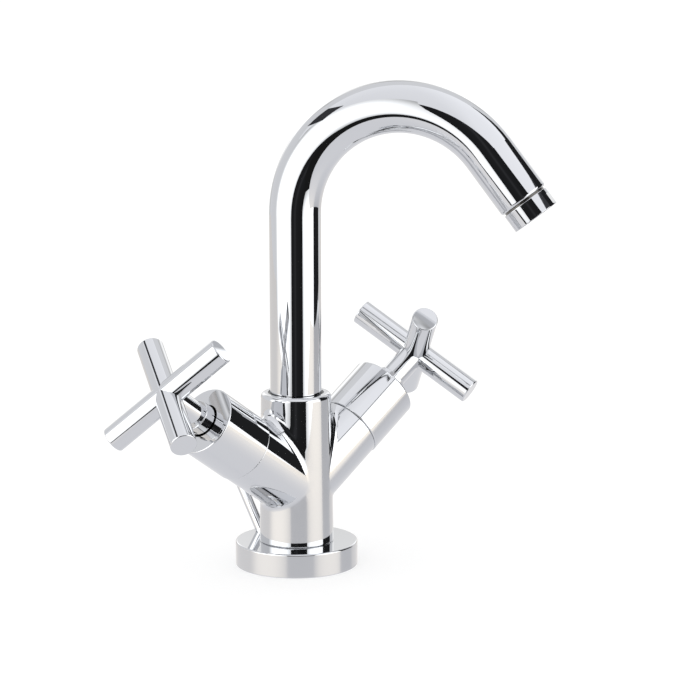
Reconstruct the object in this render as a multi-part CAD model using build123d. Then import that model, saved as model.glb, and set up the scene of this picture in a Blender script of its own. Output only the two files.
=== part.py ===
"""Two-handle basin mixer with a swivel gooseneck spout, cross handles and a pop-up lift rod.

Millimetres, +Z up. The origin is on the pillar's axis, in the plane of the deck that the base
stands on. The basin lies towards -Y, the hot valve is on the -X side and the cold valve on the
+X side. Both valve arms climb outwards, and a station on an arm is a distance along the arm's
axis from the pillar's axis. A valve is built once in its arm's own frame and placed twice.
"""

import math
import os

from build123d import *

# Base flange and what lies under it
flange_d = 60.0
flange_h = 11.8
flange_edge = 0.8
flange_rim = 3.6
flange_cavity_h = 4.5
gasket_rod_room = 0.371
gasket_h = 3.0
gasket_play = 0.1

# Pillar of the mixer body
pillar_foot_d = 36.4
pillar_top_d = 34.3
pillar_top_z = 85.9
pillar_edge = 2.1
pillar_foot_edge = 0.7
spigot_d = 31.0
spigot_play = 0.05
base_seal_section = 1.7
base_seal_z = 8.6

# Valve arms
arm_step = 0.45
arm_angle = 35.0
arm_origin_z = 39.2
arm_blend = 4.5
arm_station = 42.1
arm_seam_edge = 0.45
collar_thread_length = 8.0
valve_bore_d = 20.9
valve_seat_depth = 15.1

# Water ways, inlets and fixing stud
inlet_x = 8.5
inlet_y = 3.0
inlet_thread_d = 10.0
inlet_thread_depth = 12.0
inlet_drill_d = 7.0
inlet_top_z = 46.0
seat_bore_d = 8.0
seat_bore_station = 8.0
stud_y = -9.5
stud_d = 8.0
stud_depth = 14.0
mixing_bore_d = 16.0
mixing_depth = 8.0
port_d = 5.0
port_y = -6.5
port_drop = 5.0
port_run = 0.88

# Spout
spout_d = 25.0
spout_wall = 1.5
spout_rise_z = 173.7
spout_bend_r = 53.2
spout_bend_angle = 142.3
spout_run = 28.0
spout_turn = 32.5
spout_edge = 1.4
socket_floor_z = 62.0
socket_play = 0.08
thrust_washer_h = 1.0
thrust_washer_play = 0.5
ferrule_h = 13.5
ferrule_bore_d = 17.6
ferrule_spigot_h = 7.0
o_ring_section = 1.8
o_ring_lower_up = 2.6
o_ring_upper_up = 6.2
lock_groove_up = 10.8
lock_groove_w = 3.4
lock_groove_depth = 2.0
slip_ring_wall = 1.12
slip_ring_h = 4.0
slip_ring_recess = 0.4
lock_screw_d = 5.0
lock_screw_tip_d = 3.0
lock_screw_recess = 0.3

# Outlet and aerator
nipple_thread_d = 21.9
nipple_thread_length = 6.0
nipple_bore_d = 18.0
nipple_tail = 8.0
aerator_d = 23.7
aerator_gap = 0.9
aerator_length = 9.0
aerator_thread_play = 0.05
aerator_bore_d = 20.8
aerator_lip_d = 19.2
aerator_lip_h = 0.7
aerator_edge = 0.3
aerator_flat_depth = 0.4
aerator_flat_w = 9.0
aerator_flat_length = 5.6
aerator_flat_from_lip = 2.6
aerator_washer_h = 0.8
aerator_washer_bore_d = 17.0
aerator_screen_h = 0.5
aerator_ports = 12
aerator_port_d = 2.6
aerator_port_pcd = 14.0

# Valve cover
cover_d = 34.0
cover_length = 29.4
cover_thread_wall = 2.45
cover_wall = 1.6
cover_end_wall = 2.2
cover_mouth_d = 17.0
cover_edge = 0.7
cover_seam_edge = 0.45
cover_thread_play = 0.05

# Quarter-turn ceramic valve
seat_seal_d = 17.2
seat_seal_bore_d = 9.0
seat_seal_h = 1.4
valve_barrel_d = 17.6
valve_barrel_bore_d = 15.2
valve_barrel_gap = 0.1
valve_thread_play = 0.05
valve_thread_depth = 4.1
valve_washer_step = 1.0
valve_washer_h = 1.0
valve_hex = 24.0
valve_hex_h = 5.0
valve_boss_d = 17.0
valve_boss_h = 6.0
valve_chamber_room = 2.15
valve_window_d = 3.2
valve_windows = 4
valve_window_up = 9.9
disc_d = 15.0
disc_h = 3.0
disc_gap = 0.05
disc_slot_angle = 70.0
disc_slot_outer_d = 12.0
disc_slot_inner_d = 5.0

# Valve spindle
spindle_foot_d = 13.6
spindle_foot_h = 2.4
spindle_d = 9.0
spindle_play = 0.06
spindle_seal_section = 1.5
spindle_seals_up = (3.4, 8.4)
spindle_clip_d = 12.0
spindle_clip_h = 1.0
spindle_clip_gap = 0.15
spline_d = 8.0
spline_reach = 5.0
spline_teeth = 20
spline_depth = 0.45
spline_foot = 1.0

# Cross handle
handle_collar_d = 15.4
handle_collar_sink = 3.3
handle_collar_rise = 6.4
handle_step_edge = 0.5
handle_neck_d = 12.8
handle_rise = 26.6
handle_bar_d = 12.8
handle_span = 69.5
handle_bar_edge = 0.6
handle_bore_d = 10.4
handle_bore_depth = 11.0
handle_screw_d = 4.0
handle_screw_length = 3.4
handle_screw_up = 3.0
handle_screw_turn = 225.0
handle_screw_socket = 2.0
hot_rest_turn = 52.3
cold_rest_turn = 40.8

# Pop-up lift rod
lift_rod_d = 5.0
lift_rod_play = 0.06
lift_rod_lean = 31.0
lift_rod_turn = 7.4
lift_rod_share = 0.4322
lift_rod_foot_z = 1.8
lift_rod_length = 62.0
lift_hole_play = 0.15
lift_bush_wall = 1.0
lift_bush_top_z = 9.6
lift_bush_length = 5.2
lift_notch_play = 0.4
lift_knob_d = 10.0
lift_knob_h = 13.0
lift_knob_edge = 1.2
lift_knob_socket = 7.0

# O-rings: clearance to the wall they seal on, and room round them in their groove
o_ring_play = 0.02
o_ring_room = 0.5

# How far a cut runs on past the face that it opens
cut_past = 1.0

nodes = {}


def rod(diameter, low, high):
    """Solid round bar along Z between two heights."""
    upright = (Align.CENTER, Align.CENTER, Align.MIN)
    return Pos(0, 0, low) * Cylinder(diameter / 2, high - low, align=upright)


def ring(outer_d, inner_d, low, high):
    """Plain ring about Z between two heights."""
    return rod(outer_d, low, high) - rod(inner_d, low, high)


def o_ring(wall_d, section, height):
    """O-ring about Z that seals on a wall of a given diameter, centred at a height."""
    return Pos(0, 0, height) * Torus((wall_d - 2 * o_ring_play - section) / 2, section / 2)


def groove(wall_d, bar_d, section, height):
    """Tool for a groove in a bar, for an O-ring that seals on a wall of a larger diameter."""
    half = (section + o_ring_room) / 2
    floor_d = wall_d - 2 * section - o_ring_room / 2
    return ring(bar_d + cut_past, floor_d, height - half, height + half)


def circle_edges(shape, height, diameter):
    """Round edges of a shape about Z at one height and one diameter."""
    return [
        edge
        for edge in shape.edges().filter_by(GeomType.CIRCLE)
        if abs(edge.center().Z - height) < 0.01 and abs(edge.radius - diameter / 2) < 0.01
    ]


def hexagon(across):
    """Flat hexagon about Z, by its size across the flats."""
    return RegularPolygon(across / 2, 6, major_radius=False)


def hex_socket(across, depth):
    """Tool for a hexagon socket that opens upwards at the origin."""
    return Pos(0, 0, -depth) * extrude(hexagon(across), depth + cut_past)


def arm_frame(side):
    """Frame of a valve arm: Z runs out along the arm and X towards the front."""
    climb = math.radians(arm_angle)
    outwards = (side * math.cos(climb), 0, math.sin(climb))
    return Plane(origin=(0, 0, arm_origin_z), x_dir=(0, -1, 0), z_dir=outwards)


# The lift rod leans back in a plane through the pillar's axis, and its frame starts on the flange's top,
# at its share of the way from the pillar's foot to the rim.
lift_rod_offset = (pillar_foot_d + lift_rod_share * (flange_d - pillar_foot_d)) / 2
lean = math.radians(lift_rod_lean)
turn = math.radians(lift_rod_turn)
lift_back = Vector(-math.sin(turn), math.cos(turn), 0)
lift_frame = Plane(
    origin=lift_back * lift_rod_offset + Vector(0, 0, flange_h),
    x_dir=(math.cos(turn), math.sin(turn), 0),
    z_dir=lift_back * math.sin(lean) + Vector(0, 0, math.cos(lean)),
)


def lift_station(height):
    """Distance along the lift rod's axis at which the axis reaches a height."""
    return (height - flange_h) / math.cos(lean)


# --- base -----------------------------------------------------------------------------------

gasket_d = flange_d - 2 * flange_rim
rod_at_gasket = lift_rod_offset - (flange_h - gasket_h) * math.tan(lean)
flange_cavity_d = 2 * (rod_at_gasket + lift_rod_d / 2 / math.cos(lean) + gasket_rod_room)
flange_bore_d = spigot_d + 2 * spigot_play
lift_bush_d = lift_rod_d + 2 * lift_rod_play + 2 * lift_bush_wall
lift_bush_top = lift_station(lift_bush_top_z)
lift_hole_d = lift_rod_d + 2 * lift_hole_play

flange = rod(flange_d, 0, flange_h)
flange = fillet(circle_edges(flange, flange_h, flange_d), flange_edge)
flange = fillet(circle_edges(flange, 0, flange_d), flange_edge / 2)
flange -= rod(flange_bore_d, 0, flange_h)
flange -= rod(gasket_d, 0, gasket_h)
flange -= rod(flange_cavity_d, gasket_h, flange_cavity_h)
lift_hole_end = lift_station(flange_h + lift_rod_d)
flange -= lift_frame.location * rod(lift_hole_d, lift_bush_top - cut_past, lift_hole_end)
flange -= lift_frame.location * rod(lift_bush_d, lift_bush_top - 2 * lift_bush_length, lift_bush_top)
nodes["base_flange"] = flange
nodes["base_gasket"] = ring(gasket_d - 2 * gasket_play, flange_cavity_d + 2 * gasket_play, 0, gasket_h)
nodes["base_o_ring"] = o_ring(flange_bore_d, base_seal_section, base_seal_z)

# --- mixer body -----------------------------------------------------------------------------

arm_d = cover_d - 2 * arm_step
collar_thread_d = cover_d - 2 * (cover_thread_wall + cover_thread_play)
valve_seat_station = arm_station - valve_seat_depth
socket_d = spout_d + 2 * socket_play
slip_ring_d = socket_d + 2 * slip_ring_wall
pillar_rim = (pillar_top_d - slip_ring_d) / 2

pillar = loft(
    [
        Plane.XY.offset(flange_h) * Circle(pillar_foot_d / 2),
        Plane.XY.offset(pillar_top_z) * Circle(pillar_top_d / 2),
    ]
)
body = pillar
for side in (-1, 1):
    body += arm_frame(side).location * rod(arm_d, 0, arm_station)
seams = [
    edge
    for edge in body.edges()
    if edge.geom_type != GeomType.CIRCLE and edge.geom_type != GeomType.LINE
]
body = fillet(seams, arm_blend)
body = fillet(circle_edges(body, pillar_top_z, pillar_top_d), min(pillar_edge, 0.7 * pillar_rim))
body = fillet(circle_edges(body, flange_h, pillar_foot_d), pillar_foot_edge)
arm_ends = [
    edge
    for edge in body.edges().filter_by(GeomType.CIRCLE)
    if abs(edge.radius - arm_d / 2) < 0.01
]
body = fillet(arm_ends, arm_seam_edge)
for side in (-1, 1):
    body += arm_frame(side).location * rod(
        collar_thread_d, arm_station, arm_station + collar_thread_length
    )
body += rod(spigot_d, 0, flange_h)
body -= groove(flange_bore_d, spigot_d, base_seal_section, base_seal_z)

body -= rod(socket_d, socket_floor_z, pillar_top_z)
body -= rod(slip_ring_d, pillar_top_z - slip_ring_h - slip_ring_recess, pillar_top_z)
body -= rod(mixing_bore_d, socket_floor_z - mixing_depth, socket_floor_z)
port_reach = valve_seat_station * math.cos(math.radians(arm_angle)) + port_run
port = Pos(0, port_y, socket_floor_z - port_drop) * Rot(0, 90, 0)
body -= port * Cylinder(port_d / 2, 2 * port_reach)
for side in (-1, 1):
    arm = arm_frame(side).location
    body -= arm * rod(valve_bore_d, valve_seat_station, arm_station + collar_thread_length)
    body -= arm * rod(seat_bore_d, seat_bore_station, valve_seat_station)
    inlet = Pos(side * inlet_x, inlet_y, 0)
    body -= inlet * rod(inlet_drill_d, 0, inlet_top_z)
    body -= inlet * rod(inlet_thread_d, 0, inlet_thread_depth)
body -= Pos(0, stud_y, 0) * rod(stud_d, 0, stud_depth)

lock_z = socket_floor_z + thrust_washer_h + lock_groove_up
lock_frame = Plane(origin=(0, 0, lock_z), x_dir=(1, 0, 0), z_dir=(0, 1, 0))
body -= lock_frame.location * rod(
    lock_screw_d, socket_d / 2 - cut_past, pillar_foot_d / 2 + cut_past
)
body -= lift_frame.location * rod(
    lift_bush_d + 2 * lift_notch_play, lift_station(-lift_rod_d), lift_station(lift_bush_top_z)
)
nodes["mixer_body"] = body

# --- spout bearing --------------------------------------------------------------------------

pillar_slope = (pillar_foot_d - pillar_top_d) / 2 / (pillar_top_z - flange_h)
pillar_r_at_lock = pillar_foot_d / 2 - pillar_slope * (lock_z - flange_h)
lock_out = pillar_r_at_lock - lock_screw_recess
lock_in = spout_d / 2 - lock_groove_depth + lock_screw_recess
lock_shoulder = socket_d / 2 + socket_play
lock_screw = rod(lock_screw_d, lock_shoulder, lock_out)
lock_screw += rod(lock_screw_tip_d, lock_in, lock_shoulder)
lock_screw -= Pos(0, 0, lock_out) * hex_socket(lock_screw_d / 2, lock_screw_d / 2)
nodes["spout_lock_screw"] = lock_frame.location * lock_screw
slip_top = pillar_top_z - slip_ring_recess
nodes["spout_slip_ring"] = ring(slip_ring_d, socket_d, slip_top - slip_ring_h, slip_top)
nodes["spout_thrust_washer"] = ring(
    spout_d - 2 * thrust_washer_play,
    mixing_bore_d + 2 * thrust_washer_play,
    socket_floor_z,
    socket_floor_z + thrust_washer_h,
)

# --- spout ----------------------------------------------------------------------------------

ferrule_z = socket_floor_z + thrust_washer_h
tube_z = ferrule_z + ferrule_h
tube_bore_d = spout_d - 2 * spout_wall
bend_turn = math.radians(spout_bend_angle)
bend_reach = spout_bend_r * (1 - math.cos(bend_turn))
bend_height = spout_rise_z + spout_bend_r * math.sin(bend_turn)
outlet_dir = Vector(0, -math.sin(bend_turn), math.cos(bend_turn))
outlet_point = Vector(0, -bend_reach, bend_height) + outlet_dir * spout_run
spout_yaw = Rot(0, 0, spout_turn)
outlet_frame = Plane(origin=outlet_point, x_dir=(1, 0, 0), z_dir=outlet_dir)

bend_plane = Plane(origin=(0, -spout_bend_r, spout_rise_z), x_dir=(0, 1, 0), z_dir=(1, 0, 0))


def gooseneck(diameter, start_z):
    """Solid bar of one diameter along the spout's centre line, from a height to the outlet."""
    bend = bend_plane.location * CenterArc((0, 0), spout_bend_r, 0, spout_bend_angle)
    line = Line((0, 0, start_z), bend @ 0) + bend + Line(bend @ 1, outlet_point)
    return sweep(Plane.XY.offset(start_z) * Circle(diameter / 2), path=Wire(line.edges()))


tube = gooseneck(spout_d, tube_z)
tip_edges = [
    edge
    for edge in tube.edges().filter_by(GeomType.CIRCLE)
    if (edge.arc_center - outlet_point).length < 0.01
]
tube = fillet(tip_edges, spout_edge) - gooseneck(tube_bore_d, tube_z)
nodes["spout_tube"] = spout_yaw * tube

ferrule = rod(spout_d, ferrule_z, tube_z) + rod(tube_bore_d, tube_z, tube_z + ferrule_spigot_h)
ferrule -= rod(ferrule_bore_d, ferrule_z, tube_z + ferrule_spigot_h)
for name, up in (("lower", o_ring_lower_up), ("upper", o_ring_upper_up)):
    height = ferrule_z + up
    ferrule -= groove(socket_d, spout_d, o_ring_section, height)
    nodes[f"spout_o_ring_{name}"] = o_ring(socket_d, o_ring_section, height)
ferrule -= ring(
    spout_d + cut_past,
    spout_d - 2 * lock_groove_depth,
    lock_z - lock_groove_w / 2,
    lock_z + lock_groove_w / 2,
)
nodes["spout_ferrule"] = spout_yaw * ferrule

# --- outlet and aerator ---------------------------------------------------------------------

# The outlet's own frame starts at the tube's end, with Z along the falling water.
washer_top = nipple_thread_length
insert_top = washer_top + aerator_washer_h
aerator_end = aerator_gap + aerator_length
insert_end = aerator_end - aerator_lip_h

nipple = rod(tube_bore_d, -nipple_tail, 0) + rod(nipple_thread_d, 0, nipple_thread_length)
nipple -= rod(nipple_bore_d, -nipple_tail, nipple_thread_length)

aerator = rod(aerator_d, aerator_gap, aerator_end)
aerator = fillet(circle_edges(aerator, aerator_gap, aerator_d), aerator_edge)
aerator = fillet(circle_edges(aerator, aerator_end, aerator_d), aerator_edge)
aerator -= rod(nipple_thread_d + 2 * aerator_thread_play, aerator_gap, washer_top)
aerator -= rod(aerator_bore_d, washer_top, insert_end)
aerator -= rod(aerator_lip_d, insert_end, aerator_end)
flat_middle = aerator_gap + aerator_flat_from_lip + aerator_flat_length / 2
flat_y = aerator_d / 2 - aerator_flat_depth + cut_past
for sense in (-1, 1):
    aerator -= Pos(0, sense * flat_y, flat_middle) * Box(
        aerator_flat_w, 2 * cut_past, aerator_flat_length
    )

washer = ring(aerator_bore_d, aerator_washer_bore_d, washer_top, insert_top)
insert = rod(aerator_bore_d, insert_top, insert_end - aerator_screen_h)
insert -= PolarLocations(aerator_port_pcd / 2, aerator_ports) * rod(
    aerator_port_d, insert_top - cut_past, insert_end
)
screen = rod(aerator_bore_d, insert_end - aerator_screen_h, insert_end)
outlet_nodes = {
    "outlet_nipple": nipple,
    "aerator_housing": aerator,
    "aerator_washer": washer,
    "aerator_insert": insert,
    "aerator_screen": screen,
}
for name, shape in outlet_nodes.items():
    nodes[name] = spout_yaw * outlet_frame.location * shape

# --- valves and handles ---------------------------------------------------------------------

collar_end = arm_station + collar_thread_length
cover_end_station = arm_station + cover_length
washer_end = collar_end + valve_washer_h
hex_end = washer_end + valve_hex_h
boss_end = hex_end + valve_boss_h
fixed_disc_start = valve_seat_station + seat_seal_h
moving_disc_start = fixed_disc_start + disc_h + disc_gap
foot_start = moving_disc_start + disc_h
foot_end = foot_start + spindle_foot_h
valve_thread_station = arm_station - valve_thread_depth
valve_window_station = valve_seat_station + valve_window_up
valve_chamber_station = foot_end + valve_chamber_room
clip_start = boss_end + spindle_clip_gap
clip_end = clip_start + spindle_clip_h
spindle_bore_d = spindle_d + 2 * spindle_play
spindle_seal_stations = [arm_station + up for up in spindle_seals_up]
spline_top_station = cover_end_station + spline_reach
handle_collar_start = cover_end_station - handle_collar_sink
handle_cross_station = cover_end_station + handle_rise


def make_cover():
    """Chromed cover that screws on the arm's collar and hides the valve's nut."""
    cover = rod(cover_d, arm_station, cover_end_station)
    cover = fillet(circle_edges(cover, cover_end_station, cover_d), cover_edge)
    cover = fillet(circle_edges(cover, arm_station, cover_d), cover_seam_edge)
    cover -= rod(collar_thread_d + 2 * cover_thread_play, arm_station, collar_end)
    cover -= rod(cover_d - 2 * cover_wall, collar_end, cover_end_station - cover_end_wall)
    return cover - rod(cover_mouth_d, collar_end, cover_end_station)


def make_valve_body():
    """Brass valve body: ported barrel, thread, hexagon and boss for the spindle."""
    thread_d = valve_bore_d - 2 * valve_thread_play
    shape = rod(valve_barrel_d, fixed_disc_start + valve_barrel_gap, valve_thread_station)
    shape += rod(thread_d, valve_thread_station, washer_end)
    shape += Pos(0, 0, washer_end) * extrude(hexagon(valve_hex), valve_hex_h)
    shape += rod(valve_boss_d, hex_end, boss_end)
    shape -= rod(valve_barrel_bore_d, valve_seat_station, valve_chamber_station)
    shape -= rod(spindle_bore_d, valve_chamber_station, boss_end)
    across = Pos(0, 0, valve_window_station) * Rot(0, 90, 0)
    window = across * Cylinder(valve_window_d / 2, valve_barrel_d / 2)
    return shape - PolarLocations(valve_barrel_d / 2, valve_windows) * window


def make_ceramic_disc(start):
    """Ceramic disc with one pair of curved slots."""
    half = math.radians(disc_slot_angle / 2)
    far, aside = disc_d * math.cos(half), disc_d * math.sin(half)
    wedge = make_face(Polyline((0, 0), (far, aside), (far, -aside), (0, 0)))
    sector = Pos(0, 0, start) * extrude(wedge, disc_h)
    slot = ring(disc_slot_outer_d, disc_slot_inner_d, start, start + disc_h) & sector
    return rod(disc_d, start, start + disc_h) - slot - Rot(0, 0, 180) * slot


def make_spindle():
    """Brass spindle: foot on the moving disc, sealed stem, clip groove and splined top."""
    shape = rod(spindle_foot_d, foot_start, foot_end)
    shape += rod(spindle_d, foot_end, clip_end) + rod(spline_d, clip_end, spline_top_station)
    for station in spindle_seal_stations:
        shape -= groove(spindle_bore_d, spindle_d, spindle_seal_section, station)
    shape -= ring(spindle_d + cut_past, spline_d, clip_start, clip_end)
    upright = (Align.CENTER, Align.CENTER, Align.MIN)
    tooth_gap = Pos(0, 0, clip_end + spline_foot) * Box(
        2 * spline_depth, spline_depth, spline_top_station, align=upright
    )
    return shape - PolarLocations(spline_d / 2, spline_teeth) * tooth_gap


def make_handle():
    """One-piece cross handle: two crossing round bars on a neck with a wider collar."""
    collar_top = cover_end_station + handle_collar_rise
    bar = rod(handle_bar_d, -handle_span / 2, handle_span / 2)
    bar = fillet(bar.edges().filter_by(GeomType.CIRCLE), handle_bar_edge)
    cross = Pos(0, 0, handle_cross_station)
    shape = cross * Rot(0, 90, 0) * bar + cross * Rot(90, 0, 0) * bar
    shape += rod(handle_neck_d, collar_top, handle_cross_station)
    shape += rod(handle_collar_d, handle_collar_start, collar_top)
    shape = fillet(circle_edges(shape, collar_top, handle_collar_d), handle_step_edge)
    return shape - rod(handle_bore_d, handle_collar_start, handle_collar_start + handle_bore_depth)


def handle_screw_frame():
    """Frame of the handle's set screw: Z points out of the collar, square to the arm."""
    angle = math.radians(handle_screw_turn)
    outwards = (math.cos(angle), math.sin(angle), 0)
    return Plane(origin=(0, 0, cover_end_station + handle_screw_up), x_dir=(0, 0, 1), z_dir=outwards)


screw_out = handle_collar_d / 2 - lock_screw_recess
screw_hole = handle_screw_frame().location * rod(handle_screw_d, spline_d / 2, handle_collar_d)
set_screw = rod(handle_screw_d, screw_out - handle_screw_length, screw_out)
set_screw -= Pos(0, 0, screw_out) * hex_socket(handle_screw_socket, handle_screw_socket)
set_screw = handle_screw_frame().location * set_screw
handle_bush = ring(
    handle_bore_d,
    spline_d + 2 * spindle_play,
    handle_collar_start,
    handle_collar_start + handle_bore_depth,
)
lower_seal, upper_seal = (
    o_ring(spindle_bore_d, spindle_seal_section, station) for station in spindle_seal_stations
)
valve_nodes = {
    "valve_cover": make_cover(),
    "valve_body": make_valve_body(),
    "valve_washer": ring(
        collar_thread_d - 2 * valve_washer_step, valve_bore_d, collar_end, washer_end
    ),
    "valve_seat_seal": ring(seat_seal_d, seat_seal_bore_d, valve_seat_station, fixed_disc_start),
    "valve_fixed_disc": make_ceramic_disc(fixed_disc_start),
}
handle_nodes = {
    "valve_moving_disc": Rot(0, 0, 90) * make_ceramic_disc(moving_disc_start),
    "spindle": make_spindle(),
    "spindle_o_rings": lower_seal + upper_seal,
    "spindle_clip": ring(spindle_clip_d, spline_d, clip_start, clip_end),
    "handle": make_handle() - screw_hole,
    "handle_bush": handle_bush - screw_hole,
    "handle_screw": set_screw,
}
for side, prefix, rest_turn in ((-1, "hot", hot_rest_turn), (1, "cold", cold_rest_turn)):
    arm = arm_frame(side).location
    for name, shape in valve_nodes.items():
        nodes[f"{prefix}_{name}"] = arm * shape
    for name, shape in handle_nodes.items():
        nodes[f"{prefix}_{name}"] = arm * Rot(0, 0, rest_turn) * shape

# --- pop-up lift rod ------------------------------------------------------------------------

lift_foot = lift_station(lift_rod_foot_z)
knob_top = lift_rod_length
knob = rod(lift_knob_d, knob_top - lift_knob_h, knob_top)
knob = fillet(circle_edges(knob, knob_top, lift_knob_d), lift_knob_edge)
knob = fillet(circle_edges(knob, knob_top - lift_knob_h, lift_knob_d), lift_knob_edge / 2)
knob -= rod(lift_rod_d, knob_top - lift_knob_h, knob_top - lift_knob_h + lift_knob_socket)
lift_nodes = {
    "lift_rod": rod(lift_rod_d, lift_foot, knob_top - lift_knob_h + lift_knob_socket),
    "lift_knob": knob,
    "lift_rod_bush": ring(
        lift_bush_d, lift_rod_d + 2 * lift_rod_play, lift_bush_top - lift_bush_length, lift_bush_top
    ),
}
for name, shape in lift_nodes.items():
    nodes[name] = lift_frame.location * shape

os.makedirs("parts", exist_ok=True)
for name, shape in nodes.items():
    export_step(shape, f"parts/{name}.step")
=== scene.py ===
import math

import bpy
from mathutils import Matrix, Vector


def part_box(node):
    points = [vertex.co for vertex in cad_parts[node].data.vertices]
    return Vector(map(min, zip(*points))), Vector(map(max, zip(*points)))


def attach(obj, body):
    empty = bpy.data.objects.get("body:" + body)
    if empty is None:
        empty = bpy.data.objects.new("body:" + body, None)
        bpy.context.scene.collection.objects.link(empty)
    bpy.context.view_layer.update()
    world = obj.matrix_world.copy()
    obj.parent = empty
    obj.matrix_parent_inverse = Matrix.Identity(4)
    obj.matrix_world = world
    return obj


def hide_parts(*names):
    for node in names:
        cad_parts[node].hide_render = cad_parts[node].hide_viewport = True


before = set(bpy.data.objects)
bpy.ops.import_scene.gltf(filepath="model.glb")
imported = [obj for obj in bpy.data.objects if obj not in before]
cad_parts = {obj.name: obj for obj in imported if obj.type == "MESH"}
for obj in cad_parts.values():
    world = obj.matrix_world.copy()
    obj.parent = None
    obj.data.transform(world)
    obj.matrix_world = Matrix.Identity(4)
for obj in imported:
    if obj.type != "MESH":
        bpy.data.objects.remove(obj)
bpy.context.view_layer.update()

# --- camera ---
# A long lens at the height of a person's chest, turned towards the hot side of the pillar.
# It looks a little down on the base and along the underside of the spout's end.
look_turn, look_down, look_roll = -42.234, 11.046, -0.076

camera_data = bpy.data.cameras.new("camera")
camera_data.lens = 148.28
camera_data.sensor_width = 36.0
camera_data.clip_start = 0.05
camera = bpy.data.objects.new("camera", camera_data)
camera.matrix_world = (
    Matrix.Translation((-0.90540, -1.03663, 0.37531))
    @ Matrix.Rotation(math.radians(look_turn), 4, "Z")
    @ Matrix.Rotation(math.radians(90 - look_down), 4, "X")
    @ Matrix.Rotation(math.radians(look_roll), 4, "Z")
)
bpy.context.scene.collection.objects.link(camera)
bpy.context.scene.camera = camera
bpy.context.scene.view_settings.view_transform = "Standard"

# --- floor ---
# A matt white table top, lit evenly all over, so that only the gap under the flange is shaded.
# It is one plain sheet that runs out of sight on every side.


def linear(hex_colour):
    """Scene-linear colour of an sRGB hex value."""
    parts = [int(hex_colour[i : i + 2], 16) / 255 for i in (1, 3, 5)]
    return [*(c / 12.92 if c <= 0.04045 else ((c + 0.055) / 1.055) ** 2.4 for c in parts), 1.0]


def add_node(tree, kind, inputs=None, **settings):
    """Adds a node. An input that is given an output socket is linked, and any other is set."""
    made = tree.nodes.new(kind)
    for name, value in settings.items():
        setattr(made, name, value)
    for name, value in (inputs or {}).items():
        if isinstance(value, bpy.types.NodeSocket):
            tree.links.new(value, made.inputs[name])
        else:
            made.inputs[name].default_value = value
    return made


def new_material(name):
    """An empty node material of that name, and its tree."""
    made = bpy.data.materials.new(name)
    made.use_nodes = True
    made.node_tree.nodes.clear()
    return made, made.node_tree


def new_object(name, vertices, faces, material):
    """A mesh object at the origin with one material."""
    mesh = bpy.data.meshes.new(name)
    mesh.from_pydata(vertices, [], faces)
    mesh.materials.append(material)
    made = bpy.data.objects.new(name, mesh)
    bpy.context.scene.collection.objects.link(made)
    return made


table_paint, tree = new_material("matt_white_table")
table_grain = add_node(tree, "ShaderNodeTexNoise", {"Scale": 900.0, "Detail": 3.0})
table_bump = add_node(
    tree,
    "ShaderNodeBump",
    {"Height": table_grain.outputs[0], "Strength": 0.1, "Distance": 0.0001},
)
table_shader = add_node(
    tree,
    "ShaderNodeBsdfPrincipled",
    {
        "Base Color": linear("#C4C4C4"),
        "Roughness": 0.9,
        "Specular IOR Level": 0.1,
        "Emission Color": linear("#FFFFFF"),
        "Emission Strength": 0.5,
        "Normal": table_bump.outputs[0],
    },
)
add_node(tree, "ShaderNodeOutputMaterial", {"Surface": table_shader.outputs[0]})
reach = 6.0
floor = new_object(
    "floor",
    [(-reach, -reach, 0), (reach, -reach, 0), (reach, reach, 0), (-reach, reach, 0)],
    [(0, 1, 2, 3)],
    table_paint,
)
floor.visible_glossy = False

world = bpy.data.worlds.new("studio")
world.use_nodes = True
world.node_tree.nodes["Background"].inputs["Color"].default_value = linear("#FFFFFF")
world.node_tree.nodes["Background"].inputs["Strength"].default_value = 1.04
bpy.context.scene.world = world

# --- studio ---
# What the polished metal mirrors: a pale room, two tall soft boxes, a white backdrop, the dark
# opening between the boxes, black cards beside them and the table top. None is seen directly.
studio = Matrix.Rotation(math.radians(look_turn), 4, "Z")


even = ((0.0, 1.0), (1.0, 1.0))


def glow(name, colour, peak, across=even, upward=even):
    """Light that varies over a panel's own U and V, by (place, share of the peak) stops."""
    material, tree = new_material(name)
    panel_uv = add_node(tree, "ShaderNodeUVMap", uv_map="UVMap")
    places = add_node(tree, "ShaderNodeSeparateXYZ", {"Vector": panel_uv.outputs[0]})
    shares = []
    for place, stops in ((places.outputs["X"], across), (places.outputs["Y"], upward)):
        ramp = add_node(tree, "ShaderNodeValToRGB", {"Fac": place})
        ramp.color_ramp.interpolation = "B_SPLINE" if len(stops) > 2 else "LINEAR"
        while len(ramp.color_ramp.elements) < len(stops):
            ramp.color_ramp.elements.new(0.5)
        for element, (at, share) in zip(ramp.color_ramp.elements, stops):
            element.position = at
            element.color = (share, share, share, 1.0)
        shares.append(ramp.outputs["Color"])
    both = add_node(tree, "ShaderNodeMath", {0: shares[0], 1: shares[1]}, operation="MULTIPLY")
    scaled = add_node(tree, "ShaderNodeMath", {0: both.outputs[0], 1: peak}, operation="MULTIPLY")
    lamp = add_node(
        tree,
        "ShaderNodeEmission",
        {"Color": linear(colour), "Strength": scaled.outputs[0]},
    )
    add_node(tree, "ShaderNodeOutputMaterial", {"Surface": lamp.outputs[0]})
    material.cycles.emission_sampling = "NONE"
    return material


def mirror_only(made):
    """Leaves a studio piece to be seen in polished surfaces alone."""
    made.visible_camera = made.visible_diffuse = made.visible_shadow = False
    made.visible_transmission = made.visible_volume_scatter = False


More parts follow.
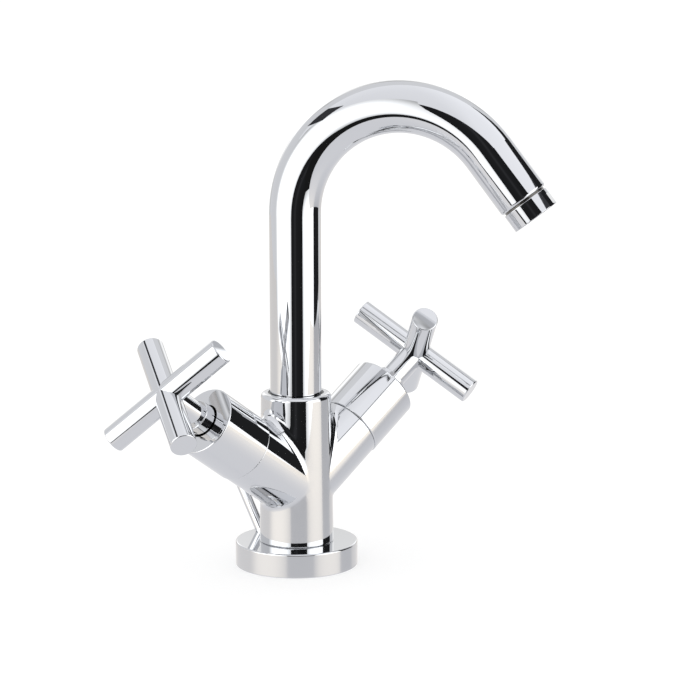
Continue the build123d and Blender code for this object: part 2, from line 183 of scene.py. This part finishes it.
def patch(name, corners, material, columns=1):
    """A panel in the studio frame, from a function of two shares that gives a point."""
    points, faces, places = [], [], []
    for i in range(columns + 1):
        for v in (0, 1):
            points.append(studio @ Vector(corners(i / columns, v)))
            places.append((i / columns, v))
    for i in range(columns):
        faces.append((2 * i, 2 * i + 2, 2 * i + 3, 2 * i + 1))
    made = new_object(name, points, faces, material)
    layer = made.data.uv_layers.new(name="UVMap")
    for loop in made.data.loops:
        layer.data[loop.index].uv = places[loop.vertex_index]
    mirror_only(made)


def upright(name, turns, heights, distance, material):
    """An upright curved panel round the pillar, between two turns from the lens and two heights."""

    def corner(u, v):
        turn = math.radians(turns[0] + u * (turns[1] - turns[0]))
        height = heights[0] + v * (heights[1] - heights[0])
        return distance * math.sin(turn), -distance * math.cos(turn), height

    patch(name, corner, material, columns=24)


def flat(name, x_range, y_range, height, material):
    """A level panel."""
    patch(
        name,
        lambda u, v: (
            x_range[0] + u * (x_range[1] - x_range[0]),
            y_range[0] + v * (y_range[1] - y_range[0]),
            height,
        ),
        material,
    )


def wall(name, start, end, heights, material):
    """A flat upright panel between two places on the floor plan and two heights."""
    patch(
        name,
        lambda u, v: (
            start[0] + u * (end[0] - start[0]),
            start[1] + u * (end[1] - start[1]),
            heights[0] + v * (heights[1] - heights[0]),
        ),
        material,
    )


room_half = 3.0
upright("room_walls", (-180, 180), (-2.0, 3.4), 2.9, glow("room_wall_light", "#F7F8FB", 0.9))
flat(
    "room_ceiling",
    (-room_half, room_half),
    (-room_half, room_half),
    3.2,
    glow("room_ceiling_light", "#F7F8FB", 0.92),
)
flat(
    "room_floor",
    (-room_half, room_half),
    (-room_half, room_half),
    -0.75,
    glow("room_floor_light", "#F0F2F4", 0.015),
)
flat(
    "top_light",
    (-1.9, 1.9),
    (-1.45, 0.36),
    1.0,
    glow(
        "top_light",
        "#F8F9FD",
        1.4,
        ((0.0, 0.79), (0.5, 0.8), (0.6, 0.93), (1.0, 0.97)),
        ((0.0, 0.9), (0.7, 0.92), (1.0, 1.0)),
    ),
)
wall(
    "left_soft_box",
    (-0.79, 0.05),
    (-0.155, -0.52),
    (-0.04, 0.62),
    glow(
        "left_soft_box",
        "#FDFEFF",
        2.6,
        ((0.0, 0.34), (0.18, 0.6), (0.36, 1.0), (0.72, 1.0), (0.88, 0.75), (1.0, 0.42)),
        ((0.0, 0.5), (0.08, 0.75), (0.2, 1.0), (0.56, 1.0), (0.8, 0.62), (1.0, 0.4)),
    ),
)
wall(
    "right_soft_box",
    (0.607, -0.90),
    (0.75, 0.0),
    (-0.28, 0.64),
    glow(
        "right_soft_box",
        "#FDFEFF",
        2.4,
        ((0.0, 0.5), (0.22, 0.8), (0.5, 1.0), (0.85, 1.0), (1.0, 0.7)),
        ((0.0, 0.45), (0.26, 0.85), (0.45, 1.0), (0.75, 1.0), (1.0, 0.6)),
    ),
)
upright(
    "backdrop",
    (146, 214),
    (-0.42, 0.92),
    1.2,
    glow(
        "backdrop_light",
        "#FFFFFF",
        2.0,
        ((0.0, 0.45), (0.26, 1.0), (0.4, 0.62), (0.5, 0.5), (0.6, 0.62), (0.74, 1.0), (1.0, 0.45)),
        ((0.0, 0.44), (0.42, 0.46), (0.58, 0.95), (0.68, 1.0), (0.82, 0.6), (1.0, 0.44)),
    ),
)
upright(
    "opening",
    (-60, 50),
    (-0.75, 1.62),
    2.1,
    glow(
        "dark_opening",
        "#F4F6FF",
        0.05,
        ((0.0, 0.25), (0.5, 0.3), (0.55, 0.9), (0.6, 0.3), (1.0, 0.25)),
    ),
)
upright("right_gap", (88, 128), (-0.75, 1.62), 1.15, glow("right_gap_light", "#F4F6FF", 0.02))
wall(
    "right_box_frame",
    (0.605, -0.90),
    (0.74, 0.0),
    (0.64, 0.68),
    glow("box_frame_light", "#F4F6FF", 0.06),
)
wall(
    "right_card",
    (0.595, -0.91),
    (0.628, -0.74),
    (0.36, 0.68),
    glow("right_card_light", "#F4F6FF", 0.04),
)
wall(
    "left_card",
    (-0.48, 0.19),
    (-0.46, -0.16),
    (0.50, 0.68),
    glow("black_card_light", "#F4F6FF", 0.05),
)

# The table top is a glossy white sheet, so it also mirrors the lights at a low angle.
table_sheet, tree = new_material("glossy_white_table_top")
sheet_light = add_node(tree, "ShaderNodeEmission", {"Color": linear("#F4F5FA"), "Strength": 0.93})
sheet_gloss = add_node(
    tree,
    "ShaderNodeBsdfAnisotropic",
    {"Color": linear("#FFF4E2"), "Roughness": 0.32},
)
sheet_edge = add_node(tree, "ShaderNodeFresnel", {"IOR": 1.5})
sheet = add_node(
    tree,
    "ShaderNodeMixShader",
    {0: sheet_edge.outputs[0], 1: sheet_light.outputs[0], 2: sheet_gloss.outputs[0]},
)
add_node(tree, "ShaderNodeOutputMaterial", {"Surface": sheet.outputs[0]})
table_sheet.cycles.emission_sampling = "NONE"
flat("table_top", (-0.85, 0.65), (-0.25, 1.1), 0.0, table_sheet)

# --- base flange ---
# The round foot plate: turned from brass bar, polished in the lathe, then nickel and chromium
# plated. It clamps on the deck over a rubber gasket and hides the tap hole.


def plated(name, swell, wave_length, haze):
    """Chromium plate on polished brass. Swell is how deep the polishing waves are in metres,
    wave_length how far apart, and haze the roughness that buffing leaves."""
    material, tree = new_material(name)
    place = add_node(tree, "ShaderNodeTexCoord")
    waves = add_node(
        tree,
        "ShaderNodeTexNoise",
        {
            "Vector": place.outputs["Object"],
            "Scale": 1 / wave_length,
            "Detail": 1.0,
            "Roughness": 0.35,
        },
    )
    # Buffing lines 0.4 mm apart, coarser than the real ones, so that they show.
    lines_place = add_node(
        tree, "ShaderNodeMapping", {
            "Vector": place.outputs["Object"],
            "Scale": (2600.0, 2600.0, 180.0),
        }
    )
    lines = add_node(
        tree,
        "ShaderNodeTexNoise",
        {"Vector": lines_place.outputs[0], "Scale": 1.0, "Detail": 2.0},
    )
    cloud = add_node(
        tree, "ShaderNodeTexNoise", {
            "Vector": place.outputs["Object"],
            "Scale": 160.0,
            "Detail": 4.0,
            "Roughness": 0.6,
        }
    )
    mixed = add_node(
        tree,
        "ShaderNodeMath",
        {0: lines.outputs[0], 1: cloud.outputs[0]},
        operation="MULTIPLY",
    )
    rough = add_node(
        tree,
        "ShaderNodeMapRange",
        {
            "Value": mixed.outputs[0],
            "From Min": 0.12,
            "From Max": 0.42,
            "To Min": 0.35 * haze,
            "To Max": haze,
        },
    )
    swell_bump = add_node(
        tree,
        "ShaderNodeBump",
        {"Height": waves.outputs[0], "Strength": 1.0, "Distance": swell},
    )
    line_bump = add_node(
        tree,
        "ShaderNodeBump",
        {
            "Height": lines.outputs[0],
            "Normal": swell_bump.outputs[0],
            "Strength": 1.0,
            "Distance": 0.000000006,
        },
    )
    shader = add_node(
        tree,
        "ShaderNodeBsdfPrincipled",
        {
            "Base Color": linear("#D8D9DB"),
            "Metallic": 1.0,
            "Roughness": rough.outputs[0],
            "Normal": line_bump.outputs[0],
        },
    )
    add_node(tree, "ShaderNodeOutputMaterial", {"Surface": shader.outputs[0]})
    return material


def finish_cad(material, *nodes):
    """Gives CAD nodes a material."""
    for name in nodes:
        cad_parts[name].data.materials[0] = material


# Turned and plated: a clean mirror, with only the faintest waves.
turned_plate = plated("turned_chromium_plate", 0.000002, 0.014, 0.05)
finish_cad(turned_plate, "base_flange")

# --- base seals ---
# A moulded nitrile rubber gasket between the flange and the deck, and an O-ring on the body's
# spigot inside the flange. Both are pressed in place and hidden in use.


def moulded(name, colour, other_colour, ior, roughness, grain, depth):
    """A moulded or pressed material that isn't metal. Grain is its skin's pattern in metres."""
    material, tree = new_material(name)
    place = add_node(tree, "ShaderNodeTexCoord")
    skin = add_node(
        tree, "ShaderNodeTexNoise", {
            "Vector": place.outputs["Object"],
            "Scale": 1 / grain,
            "Detail": 4.0,
            "Roughness": 0.6,
        }
    )
    colours = add_node(tree, "ShaderNodeValToRGB", {"Fac": skin.outputs[0]})
    colours.color_ramp.elements[0].position, colours.color_ramp.elements[0].color = 0.3, linear(
        colour,
    )
    colours.color_ramp.elements[1].position, colours.color_ramp.elements[1].color = 0.75, linear(
        other_colour,
    )
    rough = add_node(
        tree,
        "ShaderNodeMapRange",
        {
            "Value": skin.outputs[0],
            "From Min": 0.3,
            "From Max": 0.7,
            "To Min": roughness - 0.06,
            "To Max": roughness + 0.08,
        },
    )
    bump = add_node(
        tree,
        "ShaderNodeBump",
        {"Height": skin.outputs[0], "Strength": 0.7, "Distance": depth},
    )
    shader = add_node(
        tree,
        "ShaderNodeBsdfPrincipled",
        {
            "Base Color": colours.outputs[0],
            "Roughness": rough.outputs[0],
            "IOR": ior,
            "Normal": bump.outputs[0],
        },
    )
    add_node(tree, "ShaderNodeOutputMaterial", {"Surface": shader.outputs[0]})
    return material


# Black and half matt, with the fine orange-peel skin of a spark-eroded mould.
nitrile_rubber = moulded(
    "moulded_nitrile_rubber",
    "#161617",
    "#242426",
    1.52,
    0.58,
    0.0004,
    0.00002,
)
finish_cad(nitrile_rubber, "base_gasket", "base_o_ring")

# --- mixer body ---
# The pillar with both valve arms: one brass casting, machined inside, ground and buffed by hand
# outside, then plated. The thread of each arm carries the valve's cover.

# Hand buffing leaves slow waves that bend the reflections, and a little more haze.
cast_plate = plated("buffed_cast_chromium_plate", 0.000034, 0.026, 0.055)
finish_cad(cast_plate, "mixer_body")

# --- spout bearing ---
# A turned brass ferrule, soldered in the tube, turns in the pillar's socket on an acetal washer and
# two O-rings. A stainless set screw in its groove holds it, and a black ring trims the joint.


def turned(name, colour, roughness, feed, depth):
    """A bare metal as the lathe leaves it. Feed is how far apart the tool marks are, in metres."""
    material, tree = new_material(name)
    place = add_node(tree, "ShaderNodeTexCoord")
    marks_place = add_node(
        tree, "ShaderNodeMapping", {
            "Vector": place.outputs["Object"],
            "Scale": (0.2 / feed, 0.2 / feed, 1 / feed),
        }
    )
    marks = add_node(
        tree,
        "ShaderNodeTexNoise",
        {"Vector": marks_place.outputs[0], "Scale": 1.0, "Detail": 3.0},
    )
    stain = add_node(
        tree, "ShaderNodeTexNoise", {
            "Vector": place.outputs["Object"],
            "Scale": 220.0,
            "Detail": 3.0,
            "Roughness": 0.6,
        }
    )
    mixed = add_node(
        tree,
        "ShaderNodeMath",
        {0: marks.outputs[0], 1: stain.outputs[0]},
        operation="MULTIPLY",
    )
    rough = add_node(
        tree,
        "ShaderNodeMapRange",
        {
            "Value": mixed.outputs[0],
            "From Min": 0.12,
            "From Max": 0.42,
            "To Min": 0.7 * roughness,
            "To Max": 1.3 * roughness,
        },
    )
    bump = add_node(
        tree,
        "ShaderNodeBump",
        {"Height": marks.outputs[0], "Strength": 0.8, "Distance": depth},
    )
    shader = add_node(
        tree,
        "ShaderNodeBsdfPrincipled",
        {
            "Base Color": linear(colour),
            "Metallic": 1.0,
            "Roughness": rough.outputs[0],
            "Normal": bump.outputs[0],
        },
    )
    add_node(tree, "ShaderNodeOutputMaterial", {"Surface": shader.outputs[0]})
    return material


# Yellow and bright between fine tool marks 0.15 mm apart.
turned_brass = turned("turned_free_cutting_brass", "#C9A262", 0.24, 0.00015, 0.000004)
# Dark grey-white steel, centreless ground.
stainless_steel = turned("ground_stainless_steel", "#B9B7B3", 0.2, 0.0001, 0.000002)
# Black acetal, smooth with a low gloss, that reads as a plain dark line.
black_acetal = moulded("moulded_black_acetal", "#0C0D0E", "#141516", 1.48, 0.3, 0.0006, 0.000006)
# Natural acetal, milky white and slightly waxy.
white_acetal = moulded("moulded_white_acetal", "#E4E2DA", "#F0EEE8", 1.48, 0.36, 0.0009, 0.000008)
finish_cad(turned_brass, "spout_ferrule")
finish_cad(nitrile_rubber, "spout_o_ring_lower", "spout_o_ring_upper")
finish_cad(white_acetal, "spout_thrust_washer")
finish_cad(black_acetal, "spout_slip_ring")
finish_cad(stainless_steel, "spout_lock_screw")

# --- spout tube ---
# Drawn brass tube of 25 mm, bent cold on a mandrel to a gooseneck, its end rounded over, then
# polished lengthwise and plated.

# Drawn tube keeps its straightness, so the reflections run as clean bands along it.
drawn_plate = plated("drawn_tube_chromium_plate", 0.000003, 0.03, 0.045)
finish_cad(drawn_plate, "spout_tube")

# --- outlet and aerator ---
# A nickel-plated nipple is soldered in the tube's end. The chromed shell screws on it over a rubber
# washer, and holds the acetal flow straightener and a woven wire screen on the shell's lip.

# Dull grey nickel, darker than the chromium round it.
nickel_plate = turned("satin_nickel_plate", "#77746F", 0.3, 0.0005, 0.00001)
finish_cad(nickel_plate, "outlet_nipple")
finish_cad(turned_plate, "aerator_housing")
finish_cad(nitrile_rubber, "aerator_washer")
finish_cad(white_acetal, "aerator_insert")

# The screen is square to the tube's last run: the spout's turn, and the bend from straight up.
spout_turn, bend_angle = math.radians(32.5), math.radians(142.3)
# A disc that fills the shell, of 0.22 mm wire at 0.9 mm, coarser than a real one so that it shows.
screen_radius = 0.0104
wire_pitch = 0.0009
wire_radius = 0.00011
wire_sides = 5
steps_per_crossing = 4

screen_tree = bpy.data.node_groups.new("woven_screen", "GeometryNodeTree")
for name, kind in (
    ("Screen radius", "NodeSocketFloat"),
    ("Wire pitch", "NodeSocketFloat"),
    ("Wire radius", "NodeSocketFloat"),
    ("Wires", "NodeSocketInt"),
    ("Points on a wire", "NodeSocketInt"),
    ("Sides", "NodeSocketInt"),
    ("Steel", "NodeSocketMaterial"),
):
    screen_tree.interface.new_socket(name, in_out="INPUT", socket_type=kind)
screen_tree.interface.new_socket("Screen", in_out="OUTPUT", socket_type="NodeSocketGeometry")
given = add_node(screen_tree, "NodeGroupInput").outputs
minus_radius = add_node(
    screen_tree,
    "ShaderNodeMath",
    {0: given["Screen radius"], 1: -1.0},
    operation="MULTIPLY",
)
width = add_node(
    screen_tree,
    "ShaderNodeMath",
    {0: given["Screen radius"], 1: 2.0},
    operation="MULTIPLY",
)
point_gap = add_node(
    screen_tree,
    "ShaderNodeMath",
    {0: width.outputs[0], 1: given["Points on a wire"]},
    operation="DIVIDE",
)
wire_step = add_node(screen_tree, "ShaderNodeCombineXYZ", {"X": point_gap.outputs[0]})
wire_start = add_node(screen_tree, "ShaderNodeCombineXYZ", {"X": minus_radius.outputs[0]})
row_step = add_node(screen_tree, "ShaderNodeCombineXYZ", {"Y": given["Wire pitch"]})
half_rows = add_node(
    screen_tree,
    "ShaderNodeMath",
    {0: given["Wires"], 1: 1.0},
    operation="SUBTRACT",
)
row_reach = add_node(
    screen_tree,
    "ShaderNodeMath",
    {0: half_rows.outputs[0], 1: given["Wire pitch"]},
    operation="MULTIPLY",
)
first_row = add_node(
    screen_tree,
    "ShaderNodeMath",
    {0: row_reach.outputs[0], 1: -0.5},
    operation="MULTIPLY",
)
row_start = add_node(screen_tree, "ShaderNodeCombineXYZ", {"Y": first_row.outputs[0]})
wire_line = add_node(
    screen_tree,
    "GeometryNodeMeshLine",
    {
        "Count": given["Points on a wire"],
        "Start Location": wire_start.outputs[0],
        "Offset": wire_step.outputs[0],
    },
)
row_line = add_node(
    screen_tree,
    "GeometryNodeMeshLine",
    {
        "Count": given["Wires"],
        "Start Location": row_start.outputs[0],
        "Offset": row_step.outputs[0],
    },
)
rows = add_node(
    screen_tree, "GeometryNodeInstanceOnPoints", {
        "Points": row_line.outputs[0],
        "Instance": wire_line.outputs[0],
    }
)
loose_wires = add_node(screen_tree, "GeometryNodeRealizeInstances", {"Geometry": rows.outputs[0]})
at = add_node(screen_tree, "GeometryNodeInputPosition")
from_middle = add_node(screen_tree, "ShaderNodeVectorMath", {0: at.outputs[0]}, operation="LENGTH")
outside = add_node(
    screen_tree,
    "FunctionNodeCompare",
    {0: from_middle.outputs["Value"], 1: given["Screen radius"]},
    operation="GREATER_THAN",
)
round_wires = add_node(
    screen_tree, "GeometryNodeDeleteGeometry", {
        "Geometry": loose_wires.outputs[0],
        "Selection": outside.outputs[0],
    }
)
# The crimp: over one crossing wire and under the next, and the other way on the next row.
spot = add_node(screen_tree, "ShaderNodeSeparateXYZ", {"Vector": at.outputs[0]})
along_and_across = add_node(
    screen_tree,
    "ShaderNodeMath",
    {0: spot.outputs["X"], 1: spot.outputs["Y"]},
    operation="ADD",
)
turns = add_node(
    screen_tree,
    "ShaderNodeMath",
    {0: along_and_across.outputs[0], 1: given["Wire pitch"]},
    operation="DIVIDE",
)
phase = add_node(
    screen_tree,
    "ShaderNodeMath",
    {0: turns.outputs[0], 1: math.pi},
    operation="MULTIPLY",
)
crimp = add_node(screen_tree, "ShaderNodeMath", {0: phase.outputs[0]}, operation="COSINE")
lift = add_node(
    screen_tree,
    "ShaderNodeMath",
    {0: crimp.outputs[0], 1: given["Wire radius"]},
    operation="MULTIPLY",
)
rise = add_node(screen_tree, "ShaderNodeCombineXYZ", {"Z": lift.outputs[0]})
weft = add_node(
    screen_tree,
    "GeometryNodeSetPosition",
    {"Geometry": round_wires.outputs[0], "Offset": rise.outputs[0]},
)
warp = add_node(
    screen_tree,
    "GeometryNodeTransform",
    {"Geometry": weft.outputs[0], "Rotation": (math.pi, 0.0, math.pi / 2)},
)
both = add_node(screen_tree, "GeometryNodeJoinGeometry")
for layer in (weft, warp):
    screen_tree.links.new(layer.outputs[0], both.inputs[0])
centre_lines = add_node(screen_tree, "GeometryNodeMeshToCurve", {"Mesh": both.outputs[0]})
section = add_node(
    screen_tree, "GeometryNodeCurvePrimitiveCircle", {
        "Resolution": given["Sides"],
        "Radius": given["Wire radius"],
    }
)
wires = add_node(
    screen_tree,
    "GeometryNodeCurveToMesh",
    {"Curve": centre_lines.outputs[0], "Profile Curve": section.outputs[0], "Fill Caps": True},
)
smooth_wires = add_node(screen_tree, "GeometryNodeSetShadeSmooth", {"Geometry": wires.outputs[0]})
whole = add_node(screen_tree, "GeometryNodeRealizeInstances", {"Geometry": smooth_wires.outputs[0]})
steel_wires = add_node(
    screen_tree, "GeometryNodeSetMaterial", {
        "Geometry": whole.outputs[0],
        "Material": given["Steel"],
    }
)
add_node(screen_tree, "NodeGroupOutput", {"Screen": steel_wires.outputs[0]})

# Drawn stainless wire: bright along each strand, dark in the holes between.
drawn_wire = turned("drawn_stainless_wire", "#C4C2BE", 0.22, 0.00012, 0.000001)
wires_across = int(2 * screen_radius / wire_pitch) + 1


def from_tree(name, group, values):
    """The plain mesh that a node group makes from these values of its inputs."""
    maker = new_object(name + "_maker", [], [], None)
    modifier = maker.modifiers.new("maker", "NODES")
    modifier.node_group = group
    for item in group.interface.items_tree:
        if item.in_out == "INPUT" and item.name in values:
            modifier[item.identifier] = values[item.name]
    graph = bpy.context.evaluated_depsgraph_get()
    mesh = bpy.data.meshes.new_from_object(maker.evaluated_get(graph))
    mesh.name = name
    maker.modifiers.remove(modifier)
    bpy.data.objects.remove(maker)
    made = bpy.data.objects.new(name, mesh)
    bpy.context.scene.collection.objects.link(made)
    return made


screen = from_tree(
    "woven_screen",
    screen_tree,
    {
        "Screen radius": screen_radius,
        "Wire pitch": wire_pitch,
        "Wire radius": wire_radius,
        "Wires": wires_across,
        "Points on a wire": steps_per_crossing * wires_across,
        "Sides": wire_sides,
        "Steel": drawn_wire,
    },
)
low, high = (Vector(corner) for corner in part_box("aerator_screen"))
falling = Vector((0, -math.sin(bend_angle), math.cos(bend_angle)))
falling.rotate(Matrix.Rotation(spout_turn, 3, "Z"))
screen.data.transform(
    Matrix.Translation((low + high) / 2) @ falling.to_track_quat("Z", "X").to_matrix().to_4x4(),
)
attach(screen, "spout")
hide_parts("aerator_screen")

# --- valves ---
# On each side a quarter-turn cartridge: a ported brass body screwed in the arm on a fibre washer,
# and an alumina disc on a rubber seat. The chromed cover screws on the arm and hides it.

# Red-brown pressed fibre, matt, with the paper's fibres showing.
vulcanised_fibre = moulded(
    "pressed_vulcanised_fibre",
    "#6E3526",
    "#8A4733",
    1.5,
    0.62,
    0.0003,
    0.00003,
)
# White oxide ceramic, lapped flat until it shines.
lapped_alumina = moulded(
    "lapped_alumina_ceramic",
    "#E9E7DF",
    "#F3F2EC",
    1.76,
    0.16,
    0.0002,
    0.000001,
)
for side in ("hot", "cold"):
    finish_cad(turned_plate, f"{side}_valve_cover")
    finish_cad(turned_brass, f"{side}_valve_body")
    finish_cad(vulcanised_fibre, f"{side}_valve_washer")
    finish_cad(nitrile_rubber, f"{side}_valve_seat_seal")
    finish_cad(lapped_alumina, f"{side}_valve_fixed_disc")

# --- handles ---
# Two crossed round bars, a neck and a collar, all one forging, turned, polished and plated. It sits
# on the spindle's splines in an acetal bush, held by a set screw in the collar's back.
for side in ("hot", "cold"):
    finish_cad(turned_plate, f"{side}_handle")
    finish_cad(turned_brass, f"{side}_spindle")
    finish_cad(lapped_alumina, f"{side}_valve_moving_disc")
    finish_cad(nitrile_rubber, f"{side}_spindle_o_rings")
    finish_cad(stainless_steel, f"{side}_spindle_clip", f"{side}_handle_screw")
    finish_cad(white_acetal, f"{side}_handle_bush")

# --- pop-up lift rod ---
# A plated brass rod and knob that slide in an acetal bush in the flange, and work the basin's waste
# through a linkage under the deck.
finish_cad(turned_plate, "lift_rod", "lift_knob")
finish_cad(white_acetal, "lift_rod_bush")
